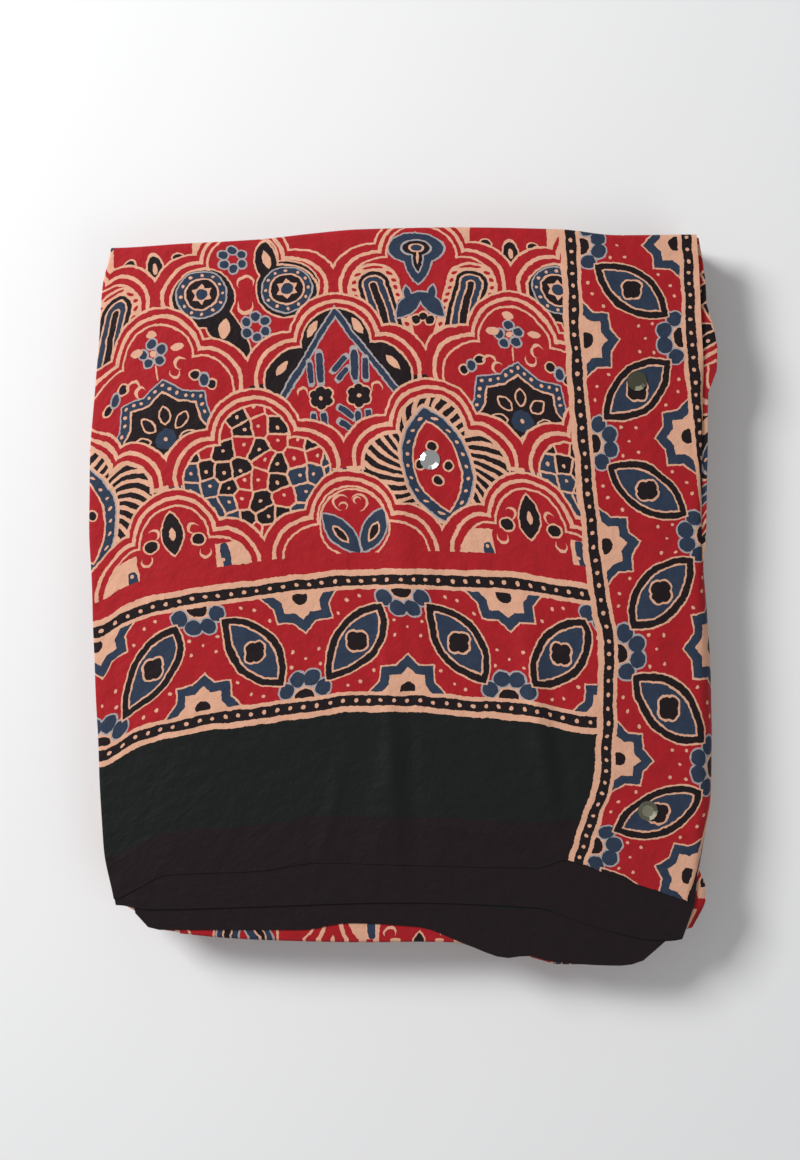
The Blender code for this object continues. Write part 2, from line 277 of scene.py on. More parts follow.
def bundle_columns(first_ply, shares):
    """All the columns from one selvedge to the other, or without the first ply and its fold."""
    high, low = 1.5 * PLY_PITCH, 0.5 * PLY_PITCH
    columns = []
    if first_ply:
        columns += ply(high, FIRST, 0.0, True, shares)
        columns += side_fold(0, high, 0.0, FIRST, LAST_PLY, PLY_WIDTH)
    columns += ply(-high, LAST_PLY, PLY_WIDTH, False, shares, 0.0 if first_ply else UNDER_SHARE)
    columns += side_fold(1, low, -PLY_PITCH, LAST_PLY, MIDDLE, 2 * PLY_WIDTH)
    columns += ply(-low, MIDDLE, 2 * PLY_WIDTH, True, shares)
    fold = side_fold(0, low, 0.0, MIDDLE, MIDDLE, 3 * PLY_WIDTH)
    columns += [column._replace(w=-column.w) for column in fold]
    columns += ply(low, MIDDLE, 3 * PLY_WIDTH, False, shares)
    return columns


UNDER_SHARE = 0.03
ROW_SHARES = tuple(np.linspace(0, 1, 31))
TURN_ANGLES = tuple(np.linspace(0, 180, 10)[1:-1])


def folded_edge(layer, share, y):
    """The x of a share of a layer's width, with room for the fold at its left side."""
    left = left_side(layer, y) + 1.5 * PLY_PITCH
    right = right_side(layer, y) - 0.5 * PLY_PITCH
    return left + share * (right - left)


def straight_row(layer, share, columns):
    """The points of a row across the straight part of a layer, and how far along it they are."""
    shares = np.array([column.share for column in columns])
    dx = np.array([column.dx for column in columns])
    w = np.array([column.w for column in columns])
    ends = np.array([column.ends for column in columns], float)
    x = folded_edge(layer, shares, 0.0) + dx
    along = share if layer % 2 == 0 else 1 - share
    for _ in range(5):
        if layer == 0:
            tables = (FIRST_PLY_END, MIDDLE_PLY_END, LAST_PLY_END)
            near = sum(ends[:, i] * read(table, x) for i, table in enumerate(tables))
        else:
            near = near_reach(layer, x) + turn_reach(layer - (layer + 1) % 2)
        far = far_reach(layer, x) - turn_reach(layer - layer % 2)
        y = near + along * (far - near)
        x = folded_edge(layer, shares, y) + dx
    up = 1 if layer % 2 == 0 else -1
    z = layer_middle(layer) + up * w + relief(x, y) * (1 - layer / LAST)
    return np.stack([x, y, z], axis=1)


def turn_row(layer, degrees, columns):
    """The points of a row across the turn that joins a layer to the next one."""
    angle = math.radians(degrees)
    shares = np.array([column.share for column in columns])
    dx = np.array([column.dx for column in columns])
    w = np.array([column.w for column in columns])
    part = degrees / 180
    x = folded_edge(layer, shares, 0.0) + dx
    for _ in range(5):
        if layer % 2 == 0:
            middle, radius = far_reach(layer, x) - turn_reach(layer), pitch(layer) / 2 + w
            y = middle + radius * math.sin(angle)
        else:
            middle, radius = near_reach(layer, x) + turn_reach(layer), pitch(layer) / 2 - w
            y = middle - radius * math.sin(angle)
        x = (1 - part) * folded_edge(layer, shares, y) + part * folded_edge(layer + 1, shares, y) + dx
    z = (layer_middle(layer) - pitch(layer) / 2 + radius * math.cos(angle)
         + relief(x, y) * (1 - (layer + part) / LAST))
    return np.stack([x, y, z], axis=1)


def stretch(first, first_share, last, last_share, columns):
    """The points and the print's places of a stretch of the bundle, from one layer to another."""
    rows, run = [], []
    us = np.array([column.u for column in columns])
    for layer in range(first, last + 1):
        start = first_share if layer == first else 0.0
        stop = last_share if layer == last else 1.0
        for share in ROW_SHARES:
            if start <= share <= stop:
                rows.append(straight_row(layer, share, columns))
                run.append((layer + share) * LAYER_RUN)
        if layer < last:
            for degrees in TURN_ANGLES:
                rows.append(turn_row(layer, degrees, columns))
                run.append((layer + 1) * LAYER_RUN)
    points = np.array(rows)
    prints = np.stack(np.broadcast_arrays(us[None, :], np.array(run)[:, None]), axis=2)
    return points, prints


def print_height(x, v):
    """The y at which the top ply's print has reached v, at x, on the field's side."""
    first, lower, upper = read(FIRST_PLY_END, x), read(LOWER_LINE, x), read(UPPER_LINE, x)
    y = first + (lower - first) * v / DARK_END
    y = np.where(v > DARK_END, lower + (upper - lower) * (v - DARK_END) / BORDER_WIDTH, y)
    y = np.where(v > FIELD_START, upper + (v - FIELD_START) * read(FIELD_STRETCH, x), y)
    return y - FAR_SQUEEZE * np.maximum(y - FAR_START, 0.0)


def print_place(u, v):
    """The place on the flat top of the packet of the print's own coordinates."""
    edge_x = np.full_like(v, 80.0)
    for _ in range(6):
        edge_y = print_height(edge_x, v)
        edge_x = read(INNER_EDGE, edge_y)
    across = u - BORDER_WIDTH
    field_x = edge_x - across
    field_y = print_height(field_x, v)
    lean = np.radians(read(BORDER_LEAN, v))
    width = -across * read(BORDER_SQUEEZE, v)
    x = np.where(across > 0, field_x, edge_x + width * np.cos(lean))
    y = np.where(across > 0, field_y, edge_y + width * np.sin(lean))
    return x, y


def top_ply():
    """The points and the print's places of the top ply, up to where its left fold and its far turn begin."""
    high = 1.5 * PLY_PITCH
    rows = int(FIELD_START / TOP_CELL) + int((298 - FIELD_START) / TOP_CELL)
    along = np.linspace(0, 1, rows)[:, None]
    columns = int(278 / TOP_CELL)
    across = np.linspace(0, 1, columns)[None, :]
    v = along * 297
    u = across * 281
    for _ in range(8):
        x, y = print_place(u, v)
        far = far_reach(0, x) - turn_reach(0)
        v_end = v[-1:, :] + 0 * u + (far - y)[-1:, :]
        v = along * v_end
        left = left_side(0, y) + high
        u_end = (u[:, -1:] + (x - left)[:, -1:]) + 0 * v
        u = across * u_end
    x, y = print_place(u, v)
    z = layer_middle(0) + high + relief(x, y)
    radius = read(SHOULDER_RADIUS, y)
    start = read(SHOULDER, y) - radius
    past = np.maximum(x - start, 0.0)
    turned = np.minimum(past / radius, math.pi / 2)
    z = z - radius * (1 - np.cos(turned)) - np.maximum(past - radius * math.pi / 2, 0.0)
    x = np.minimum(x, start) + radius * np.sin(turned)
    flat = np.stack([x, y, z], axis=2)
    print_at = np.stack([u, v], axis=2)
    return flat, print_at


def left_fold_columns(flat, print_at):
    """The top ply's left fold and a narrow strip under it, for each of its rows."""
    high = 1.5 * PLY_PITCH
    edge = flat[:, -1]
    points, prints = [], []
    for turned in (*FOLD_TURNS, 180):
        angle = math.radians(turned)
        step = np.array([-math.sin(angle) * high, 0.0, (math.cos(angle) - 1) * high])
        points.append(edge + step)
        prints.append(print_at[:, -1] + np.array([angle * high, 0.0]))
    for reach in (UNDER_SHARE * PLY_WIDTH / 2, UNDER_SHARE * PLY_WIDTH):
        points.append(edge + np.array([reach, 0.0, -2 * high]))
        prints.append(print_at[:, -1] + np.array([math.pi * high + reach, 0.0]))
    return np.stack(points, axis=1), np.stack(prints, axis=1)


def far_turn_rows(points, prints):
    """The turn at the far side of the top ply and its strip under the first layer."""
    edge, at = points[-1], prints[-1]
    w = edge[:, 2] - layer_middle(0) - relief(edge[:, 0], edge[:, 1])
    middle = edge - np.stack([0 * w, 0 * w, pitch(0) / 2 + w], axis=1)
    radius = pitch(0) / 2 + w
    more, places = [], []
    for degrees in (*TURN_ANGLES, 180):
        angle = math.radians(degrees)
        more.append(middle + np.stack([0 * w, radius * math.sin(angle), radius * math.cos(angle)], axis=1))
        places.append(at + np.stack([0 * w, radius * angle], axis=1))
    return np.array(more), np.array(places)


def sheet_mesh(name, points, prints):
    """A mesh of the grid of points, with the print's places and an even map named OFBake."""
    rows, columns = points.shape[:2]
    index = np.arange(rows * columns).reshape(rows, columns)
    faces = np.stack([index[:-1, :-1], index[1:, :-1], index[1:, 1:], index[:-1, 1:]], axis=2)
    mesh = bpy.data.meshes.new(name)
    mesh.from_pydata((points.reshape(-1, 3) * MM).tolist(), [], faces.reshape(-1, 4).tolist())
    corners = np.zeros(len(mesh.loops), int)
    mesh.loops.foreach_get("vertex_index", corners)
    even = np.stack(np.meshgrid(np.linspace(0.004, 0.996, columns), np.linspace(0.004, 0.996, rows)), axis=2)
    for layer, places in (("Print", prints * MM), ("OFBake", even)):
        uv = mesh.uv_layers.new(name=layer)
        uv.data.foreach_set("uv", places.reshape(-1, 2)[corners].ravel())
    mesh.shade_smooth()
    return mesh


def finished(name, mesh, material):
    """An object of the mesh with the sheet's thickness in its points."""
    made = bpy.data.objects.new(name, mesh)
    bpy.context.scene.collection.objects.link(made)
    mesh.materials.append(material)
    thickness = made.modifiers.new("thickness", "SOLIDIFY")
    thickness.thickness = SHEET_THICKNESS * MM
    thickness.offset = 0.0
    solid = bpy.data.meshes.new_from_object(made.evaluated_get(bpy.context.evaluated_depsgraph_get()))
    made.modifiers.clear()
    made.data = solid
    solid.name = name
    solid.set_sharp_from_angle(angle=math.radians(60))
    return made


class Value:
    """A socket of a node tree. A sum written with it adds Math nodes to the tree."""

    def __init__(self, socket):
        self.socket = socket
        self.tree = socket.id_data

    def math(self, operation, *others):
        return node(self.tree, "Math", dict(enumerate((self, *others))), operation=operation)

    def __add__(self, other):
        return self.math("ADD", other)

    __radd__ = __add__

    def __sub__(self, other):
        return self.math("SUBTRACT", other)

    def __rsub__(self, other):
        return node(self.tree, "Math", {0: other, 1: self}, operation="SUBTRACT")

    def __mul__(self, other):
        return self.math("MULTIPLY", other)

    __rmul__ = __mul__

    def __truediv__(self, other):
        return self.math("DIVIDE", other)

    def __abs__(self):
        return self.math("ABSOLUTE")

    def __lt__(self, other):
        return self.math("LESS_THAN", other)

    def __gt__(self, other):
        return self.math("GREATER_THAN", other)

    def other(self, output):
        """Another output of the node that this value comes from."""
        return Value(self.socket.node.outputs[output])


def node(tree, kind, inputs=None, output=0, **settings):
    """A node of this kind: its settings first, and then the values or links of its sockets."""
    made = tree.nodes.new("ShaderNode" + kind)
    for name, value in settings.items():
        if name == "stops":
            fill_ramp(made.color_ramp, value)
        else:
            setattr(made, name, value)
    for name, value in (inputs or {}).items():
        if isinstance(value, Value):
            tree.links.new(value.socket, made.inputs[name])
        else:
            made.inputs[name].default_value = value
    return Value(made.outputs[output])


def fill_ramp(ramp, stops):
    ramp.interpolation = "CONSTANT"
    while len(ramp.elements) > 1:
        ramp.elements.remove(ramp.elements[-1])
    ramp.elements[0].position, ramp.elements[0].color = stops[0]
    for place, color in stops[1:]:
        ramp.elements.new(place).color = color


def vector(operation, first, second=(0, 0, 0), third=None, output=0):
    inputs = {0: first, 1: second}
    if third is not None:
        inputs[2] = third
    return node(first.tree, "VectorMath", inputs, output, operation=operation)


def length(point):
    return vector("LENGTH", point, output=1)


def distance(point, place):
    return vector("DISTANCE", point, (*place, 0), output=1)


def pair(x, y):
    return node(x.tree if isinstance(x, Value) else y.tree, "CombineXYZ", {0: x, 1: y})


def split(point):
    x = node(point.tree, "SeparateXYZ", {0: point})
    return x, x.other(1)


def choose(mask, one, other, kind="FLOAT"):
    """other where the mask is 0, and one where it is 1."""
    first = {"FLOAT": 2, "VECTOR": 4, "RGBA": 6}[kind]
    output = {"FLOAT": 0, "VECTOR": 1, "RGBA": 2}[kind]
    return node(mask.tree, "Mix", {0: mask, first: other, first + 1: one}, output, data_type=kind,
                clamp_factor=False)


def highest(depths):
    top = depths[0]
    for depth in depths[1:]:
        top = top.math("MAXIMUM", depth)
    return top


# Each ink is a number until the last step turns the numbers into colours.
MADDER, BLACK, PEACH, INDIGO, PALE = 0.1, 0.3, 0.5, 0.7, 0.9
OUTLINED_BLACK = ((0.0, PEACH), (0.17, BLACK))
OUTLINED_INDIGO = ((0.0, PALE), (0.17, INDIGO))
OUTLINED_BAR = ((0.0, PALE), (0.1, INDIGO))


def banded(coat, depth, bands):
    """Lays a shape's bands of ink over the coat, each one from its own depth inwards."""
    margin = 0.1
    reach = bands[-1][0] + 0.4 + 2 * margin
    place = node(depth.tree, "Math", {0: depth, 1: 1 / reach, 2: margin / reach}, operation="MULTIPLY_ADD")
    stops = [(0.0, (0, 0, 0, 0))]
    stops += [((start + margin) / reach, (ink, ink, ink, 1)) for start, ink in bands]
    ramp = node(depth.tree, "ValToRGB", {0: place}, stops=stops)
    return choose(ramp.other(1), ramp, coat)


def disc(point, x, y, radius):
    """How deep inside a disc a point lies."""
    return radius - distance(point, (x, y))


def oval(point, x, y, wide, tall):
    local = vector("MULTIPLY_ADD", point, (1 / wide, 1 / tall, 0), (-x / wide, -y / tall, 0))
    size = min(wide, tall)
    return node(point.tree, "Math", {0: length(local), 1: -size, 2: size}, operation="MULTIPLY_ADD")


def leaf(point, x, y, wide, tall, turn=0.0):
    """A leaf with two tips: tall is half its length. turn is in degrees, from down towards right."""
    radius = (tall ** 2 + wide ** 2) / (2 * wide)
    side = (radius - wide) * math.cos(math.radians(turn))
    sink = (radius - wide) * math.sin(math.radians(turn))
    one = distance(point, (x + side, y - sink))
    return radius - one.math("MAXIMUM", distance(point, (x - side, y + sink)))


def bar(point, x, y, wide, tall, turn=0.0):
    """A bar with rounded corners, turned as a leaf is."""
    local = node(point.tree, "Mapping", {0: point, 1: (x, y, 0), 2: (0, 0, -math.radians(turn)),
                                         3: (wide, tall, 1)}, vector_type="TEXTURE")
    size = min(wide, tall)
    bulge = length(vector("MULTIPLY", local, local)).math("SQRT")
    return node(point.tree, "Math", {0: bulge, 1: -size, 2: size}, operation="MULTIPLY_ADD")


def curl(point, x, y, radius, thick, turn=0.0):
    """A hook: a disc without a smaller one, open towards turn."""
    angle = math.radians(turn)
    cut = (x + 0.75 * thick * math.sin(angle), y + 0.75 * thick * math.cos(angle))
    return disc(point, x, y, radius).math("MINIMUM", distance(point, cut) - (radius - 0.45 * thick))


def nearest(points):
    """Whichever of these points is nearest to its own middle."""
    first = points[0]
    for point in points[1:]:
        first = choose(length(first) < length(point), first, point, "VECTOR")
    return first


def round_fold(local, count):
    """A point turned about its middle into the sector of the nearest of a number of equal rays."""
    across, down = split(local)
    angle = across.math("ARCTAN2", down).math("PINGPONG", math.pi / count)
    reach = length(local)
    return pair(reach * angle.math("SINE"), reach * angle.math("COSINE"))


def star(folded, tip, valley, count):
    """How deep inside a star's straight edges a folded point lies."""
    half = math.pi / count
    across, rise = valley * math.sin(half), tip - valley * math.cos(half)
    size = math.hypot(across, rise)
    normal = (rise / size, across / size, 0)
    return tip * normal[1] - vector("DOT_PRODUCT", folded, normal, output=1)


# The field's scales. For each of the three lines round a scale, the round of its crown and of its
# shoulder: middles, radii and half the line's thickness, from the top of the scale.
ScaleLine = namedtuple("ScaleLine", "crown_y crown shoulder_x shoulder_y shoulder half")
SCALE_LINES = (
    ScaleLine(crown_y=4.83, crown=4.74, shoulder_x=5.0, shoulder_y=8.0, shoulder=4.32, half=0.12),
    ScaleLine(crown_y=5.09, crown=4.14, shoulder_x=4.5, shoulder_y=8.3, shoulder=3.66, half=0.2),
    ScaleLine(crown_y=5.26, crown=3.52, shoulder_x=3.9, shoulder_y=8.8, shoulder=3.46, half=0.11),
)
COLUMN_PITCH = 17.8
ROW_PITCH = 9.05
FIRST_COLUMN = 19.5
FIRST_CROWN = 10.15
LINE_DEPTH = 9.7
PLAIN_STRIP = 1.75

# The border along every side. Its motifs repeat over two leaves that lean opposite ways.
BORDER = BORDER_WIDTH / BLOCK
BORDER_REPEAT = 20.4
STRIP_DOTS = 1.3
BORDER_DOTS = ((-1.7, -2.9), (-0.4, -4.15), (0.8, -4.5), (3.7, -2.0), (3.8, -0.5), (5.15, -1.3))

# The motifs of the field, one for each scale, in the order of the rows from the dark end. A shape
# stands in its scale, x to the right and y down from the scale's top. One with both stands at
# either side. The coats are printed one over another.
Shape = namedtuple("Shape", "motif kind x y wide tall turn both", defaults=(0.0, False))
Coat = namedtuple("Coat", "bands shapes")
MOTIFS = (("bud", "round"), ("eye", "pebbles"), ("star", "roof"), ("hoops", "mangoes"))
COATS = (
    Coat(OUTLINED_BLACK, (
        Shape("mangoes", "oval", 4.3, 8.1, 3.25, 3.25),
        Shape("mangoes", "oval", 2.35, 4.9, 1.3, 2.5),
        Shape("mangoes", "oval", -4.1, 8.6, 3.25, 3.25),
        Shape("mangoes", "leaf", -1.5, 12.3, 1.3, 4.2, 30),
        Shape("mangoes", "oval", -2.5, 11.5, 1.6, 1.6),
        Shape("star", "oval", 3.55, 7.2, 0.62, 0.6, 0, True),
        Shape("star", "oval", 5.2, 8.3, 0.6, 0.62, 0, True),
        Shape("bud", "leaf", -0.1, 4.5, 1.15, 2.4),
        Shape("bud", "oval", 2.35, 5.4, 0.85, 0.75, 0, True),
        Shape("bud", "oval", 0.05, 13.9, 0.9, 1.8),
        Shape("bud", "oval", 2.4, 13.0, 0.7, 0.7, 0, True),
        Shape("hoops", "oval", -0.85, 12.35, 0.62, 0.6),
        Shape("hoops", "oval", 0.62, 12.35, 0.62, 0.6),
        Shape("hoops", "oval", -0.12, 11.95, 0.62, 0.55),
    )),
    Coat(OUTLINED_INDIGO, (
        Shape("hoops", "leaf", -1.45, 10.7, 0.95, 2.1, -42),
        Shape("hoops", "leaf", 0.85, 10.7, 0.95, 2.1, 42),
        Shape("hoops", "leaf", -1.5, 9.55, 0.52, 1.15, 6),
        Shape("hoops", "leaf", 0.87, 9.5, 0.52, 1.15, -8),
        Shape("star", "oval", 4.4, 7.8, 0.58, 0.78, 0, True),
        Shape("star", "oval", -0.45, 3.65, 0.6, 0.6),
        Shape("star", "oval", 0.45, 4.25, 0.6, 0.6),
        Shape("star", "oval", 0.2, 5.3, 0.6, 0.6),
        Shape("star", "oval", -0.95, 5.4, 0.6, 0.6),
        Shape("star", "oval", -1.35, 4.5, 0.6, 0.6),
    )),
    Coat(OUTLINED_BAR, (
        Shape("roof", "bar", 1.75, 7.6, 0.45, 1.95, 0, True),
        Shape("roof", "bar", 2.75, 8.0, 0.4, 1.45, 0, True),
        Shape("roof", "bar", 0.25, 7.4, 0.42, 1.35, -48),
        Shape("roof", "bar", 0.5, 8.5, 0.38, 1.1, -48),
        Shape("roof", "bar", 1.75, 13.0, 0.42, 1.0, 0, True),
        Shape("roof", "bar", 2.75, 12.7, 0.36, 0.7, 0, True),
        Shape("roof", "bar", 0.5, 12.3, 0.42, 1.25, 52),
        Shape("roof", "bar", 0.5, 13.75, 0.42, 1.3, 52),
    )),
    Coat(((0.0, PEACH),), (
        Shape("mangoes", "leaf", 2.36, 4.7, 0.42, 1.1, 14),
        Shape("mangoes", "leaf", -2.15, 11.9, 0.6, 0.95, -10),
        Shape("mangoes", "curl", 0.15, 7.15, 0.85, 0.3, 0),
        Shape("mangoes", "curl", 0.05, 9.9, 0.85, 0.3, 180),
        Shape("star", "leaf", 2.0, 4.2, 0.4, 0.7, 90, True),
        Shape("star", "leaf", -0.5, 2.7, 0.4, 0.6, 80),
        Shape("star", "oval", -0.35, 4.6, 0.3, 0.3),
        Shape("star", "bar", -0.2, 6.5, 0.09, 0.7),
        Shape("star", "curl", -2.6, 7.3, 0.65, 0.26, 0),
        Shape("star", "curl", -1.9, 8.0, 0.6, 0.26, 60),
        Shape("star", "curl", 2.2, 5.8, 0.65, 0.26, 60),
        Shape("star", "curl", 1.6, 6.8, 0.6, 0.26, 180),
        Shape("roof", "curl", 3.75, 9.9, 0.6, 0.25, 0, True),
        Shape("roof", "leaf", 2.25, 3.6, 0.42, 1.05, 35, True),
        Shape("roof", "leaf", 5.5, 7.4, 0.42, 0.95, 38, True),
        Shape("bud", "leaf", -0.1, 4.5, 0.28, 0.7),
        Shape("bud", "oval", 0.05, 13.9, 0.25, 0.6),
        Shape("bud", "curl", 1.9, 4.2, 0.6, 0.25, 60, True),
        Shape("bud", "curl", 2.9, 6.8, 0.6, 0.25, 180, True),
        Shape("round", "curl", -1.0, 3.3, 0.85, 0.24, 60),
        Shape("round", "curl", -0.75, 3.7, 0.45, 0.2, -30),
        Shape("round", "curl", 0.9, 3.4, 0.85, 0.24, -60),
        Shape("round", "curl", 0.65, 3.2, 0.4, 0.2, 40),
    )),
)


def rounds(point, line):
    """How far outside the middle of one of a scale's lines a point lies."""
    crown = distance(point, (0, line.crown_y)) - line.crown
    shoulder = distance(point, (line.shoulder_x, line.shoulder_y)) - line.shoulder
    x, y = split(point)
    between = (x - line.shoulder_x).math("MAXIMUM", line.crown_y + 1 - y)
    return crown.math("MINIMUM", shoulder).math("MINIMUM", between)


def border_coat(along, across):
    """The print of a border, along it and across it from the edge that its field lies on."""
    middle = BORDER / 2
    turned = across > middle
    depth = middle - abs(across - middle)
    folded = (along * (1 - 2 * turned) + BORDER_REPEAT / 4).math("PINGPONG", BORDER_REPEAT / 2)
    point = pair(folded - BORDER_REPEAT / 4, depth)
    dots = highest([disc(point, x, y + middle, 0.17) for x, y in BORDER_DOTS])
    coat = choose(dots > 0, PEACH, MADDER)
    star_at = round_fold(vector("SUBTRACT", point, (-BORDER_REPEAT / 4, 2.0, 0)), 8)
    coat = banded(coat, star(star_at, 3.95, 3.1, 8), ((0.0, PEACH), (0.17, INDIGO), (1.05, PEACH)))
    x = BORDER_REPEAT / 4
    flower = highest([disc(point, x - 1.85, 2.85, 0.95), disc(point, x - 0.72, 3.95, 0.95)])
    coat = choose(oval(point, x, 2.2, 1.9, 1.7) > 0, PEACH, coat)
    coat = banded(coat, flower, OUTLINED_INDIGO)
    centres = highest([oval(point, x, 2.2, 0.95, 0.75), oval(point, -x, 2.35, 0.75, 0.7)])
    coat = choose(centres > 0, BLACK, coat)
    leaves = leaf(point, 0, middle, 2.5, 4.9, -38)
    coat = banded(coat, leaves, ((0.0, PEACH), (0.16, BLACK), (0.8, PEACH), (0.98, INDIGO)))
    centre = vector("ABSOLUTE", vector("SUBTRACT", point, (0, middle, 0)))
    lobes = disc(centre, 0.32, 0.32, 0.85)
    coat = banded(coat, lobes, ((0.0, PEACH), (0.2, BLACK)))
    coat = banded(coat, 2.05 - depth, tuple((2.05 - start, ink) for start, ink in
                                            ((2.05, PEACH), (1.65, BLACK), (0.6, PEACH))))
    dot = distance(pair(along.math("PINGPONG", STRIP_DOTS / 2), depth), (0, 1.12))
    return choose(dot < 0.2, PEACH, coat)


def scale_at(u, v):
    """Which scale of the field a point lies on: its place on it, its row and its column's turn."""
    raised = (v - (FIRST_CROWN + BORDER + DARK_END / BLOCK)) / ROW_PITCH
    row = raised.math("CEIL").math("MAXIMUM", 0)
    down = (row - raised) * ROW_PITCH
    odd = row.math("FLOORED_MODULO", 2)

    def from_column(turn):
        return (FIRST_COLUMN + turn * (COLUMN_PITCH / 2) - u).math("WRAP", COLUMN_PITCH / 2,
                                                                    -COLUMN_PITCH / 2)

    here = from_column(odd)
    inside = rounds(pair(abs(here), down), SCALE_LINES[0]) < SCALE_LINES[0].half
    x = choose(inside, here, from_column(1 - odd))
    y = down + (1 - inside) * ROW_PITCH
    chosen = row + 1 - inside
    odd = chosen.math("FLOORED_MODULO", 2)
    column = (u + x - FIRST_COLUMN - odd * (COLUMN_PITCH / 2)) / COLUMN_PITCH
    other = (column + 0.5).math("FLOOR").math("FLOORED_MODULO", 2)
    return x, y, chosen, other


def motif_points(x, y, row, other):
    """For each motif, the point in its scale, or one far away where another motif is printed."""
    point = pair(x, y)
    turn = row.math("FLOORED_MODULO", 4) * 2 + other
    points = {}
    for number, name in enumerate(name for names in MOTIFS for name in names):
        away = (1 - turn.math("COMPARE", number, 0.5)) * 99
        points[name] = vector("ADD", point, away)
    return points


def shape_depth(shape, points, mirrored):
    point = points[shape.motif]
    if shape.both:
        if shape.motif not in mirrored:
            mirrored[shape.motif] = vector("ABSOLUTE", point)
        point = mirrored[shape.motif]
    place = (shape.x, shape.y, shape.wide, shape.tall)
    if shape.kind == "oval":
        if shape.wide == shape.tall:
            return disc(point, *place[:3])
        return oval(point, *place)
    return {"leaf": leaf, "bar": bar, "curl": curl}[shape.kind](point, *place, shape.turn)


def field_coat(u, v):
    """The print of the field: scales in staggered rows, each with a motif."""
    x, y, row, other = scale_at(u, v)
    points = motif_points(x, y, row, other)
    mirrored = {}
    both = pair(abs(x), y)
    lines = [rounds(both, line) for line in SCALE_LINES]
    inner = lines[2].math("MINIMUM", 8.8 - y)
    coat = eye_coat(points["eye"], inner, MADDER)
    coat = roof_ground(vector("ABSOLUTE", points["roof"]), inner, coat)
    coat = bud_sides(points["bud"], inner, coat)
    for shapes in COATS[:1]:
        coat = banded(coat, highest([shape_depth(shape, points, mirrored) for shape in shapes.shapes]),
                      shapes.bands)
    coat = pebble_coat(points["pebbles"], inner, coat)
    coat = hoop_coat(points["hoops"], coat)

    star_at = round_fold(vector("SUBTRACT", points["star"], (0.25, 13.1, 0)), 8)
    edge = star(star_at, 6.0, 5.0, 8)
    coat = banded(coat, edge, ((0.0, PALE), (0.15, INDIGO), (1.0, PEACH), (1.2, BLACK)))
    petals = leaf(star_at, 0, 2.35, 0.62, 1.0)
    coat = banded(coat, petals, OUTLINED_BLACK)
    middles = disc(star_at, 0, 0.55, 0.55)

    mango = nearest([vector("SUBTRACT", vector("ABSOLUTE", points["mangoes"]), (4.25, 8.25, 0)),
                     vector("SUBTRACT", points["mangoes"], (-1.07, 4.56, 0)),
                     vector("SUBTRACT", points["mangoes"], (1.07, 11.95, 0)),
                     vector("SUBTRACT", vector("ABSOLUTE", points["roof"]), (1.9, 10.7, 0))])
    folded = round_fold(mango, 6)
    heads = disc(vector("ABSOLUTE", points["mangoes"]), 4.25, 8.25, 2.65)
    coat = banded(coat, heads, ((0.0, PALE), (0.17, INDIGO), (0.85, PEACH), (1.05, BLACK)))
    in_mango = heads > 0
    coat = choose(in_mango * (star(folded, 1.15, 0.75, 6) > 0), PEACH, coat)
    on_roof = length(points["roof"]) < 30
    flower = disc(folded, 0, 1.05, 0.6) - in_mango * 9 - on_roof * 9
    coat = banded(coat, flower, OUTLINED_INDIGO)
    dark_flower = disc(folded, 0, 0.72, 0.62).math("MAXIMUM", length(folded) * -1 + 0.9)
    dark_flower = dark_flower - (1 - on_roof) * 9
    coat = banded(coat, dark_flower, OUTLINED_BLACK)
    coat = choose((length(folded) < 0.2) * on_roof, PEACH, coat)

    for shapes in COATS[1:]:
        coat = banded(coat, highest([shape_depth(shape, points, mirrored) for shape in shapes.shapes]),
                      shapes.bands)
    ring = disc(points["round"], 0.15, 5.5, 3.55)
    leaves = leaf(points["round"], -1.25, 6.45, 1.25, 2.85, 40)
    leaves = leaves.math("MAXIMUM", leaf(points["round"], 2.0, 6.25, 1.2, 2.6, -31))
    line = 0.1 - abs(ring - 0.1)
    coat = choose(line > 0, PEACH, coat)
    coat = banded(coat, leaves, OUTLINED_INDIGO)
    seeds = leaf(points["round"], -1.3, 6.55, 0.5, 1.15, 38).math(
        "MAXIMUM", leaf(points["round"], 2.0, 6.35, 0.5, 1.15, -28))
    coat = banded(coat, seeds, OUTLINED_BLACK)

    centres = highest([middles, disc(folded, 0, 0, 0.6) - (1 - in_mango) * 9])
    coat = banded(coat, centres, ((0.0, INDIGO),))
    dots = highest([disc(star_at, 0, 5.3, 0.17), disc(star_at, 0.68, 4.85, 0.17),
                    disc(star_at, 1.3, 4.4, 0.17), disc(star_at, 0, 0, 0.2),
                    disc(folded, 0, 2.15, 0.17) - (1 - in_mango) * 9,
                    disc(folded, 1.075, 1.86, 0.17) - (1 - in_mango) * 9])
    coat = choose(dots > 0, PEACH, coat)
    depth = highest([line.half - abs(outside) for outside, line in zip(lines, SCALE_LINES)])
    coat = choose((depth > 0) * (y < LINE_DEPTH), PEACH, coat)
    return choose(v < FIELD_START / BLOCK + PLAIN_STRIP, MADDER, coat)


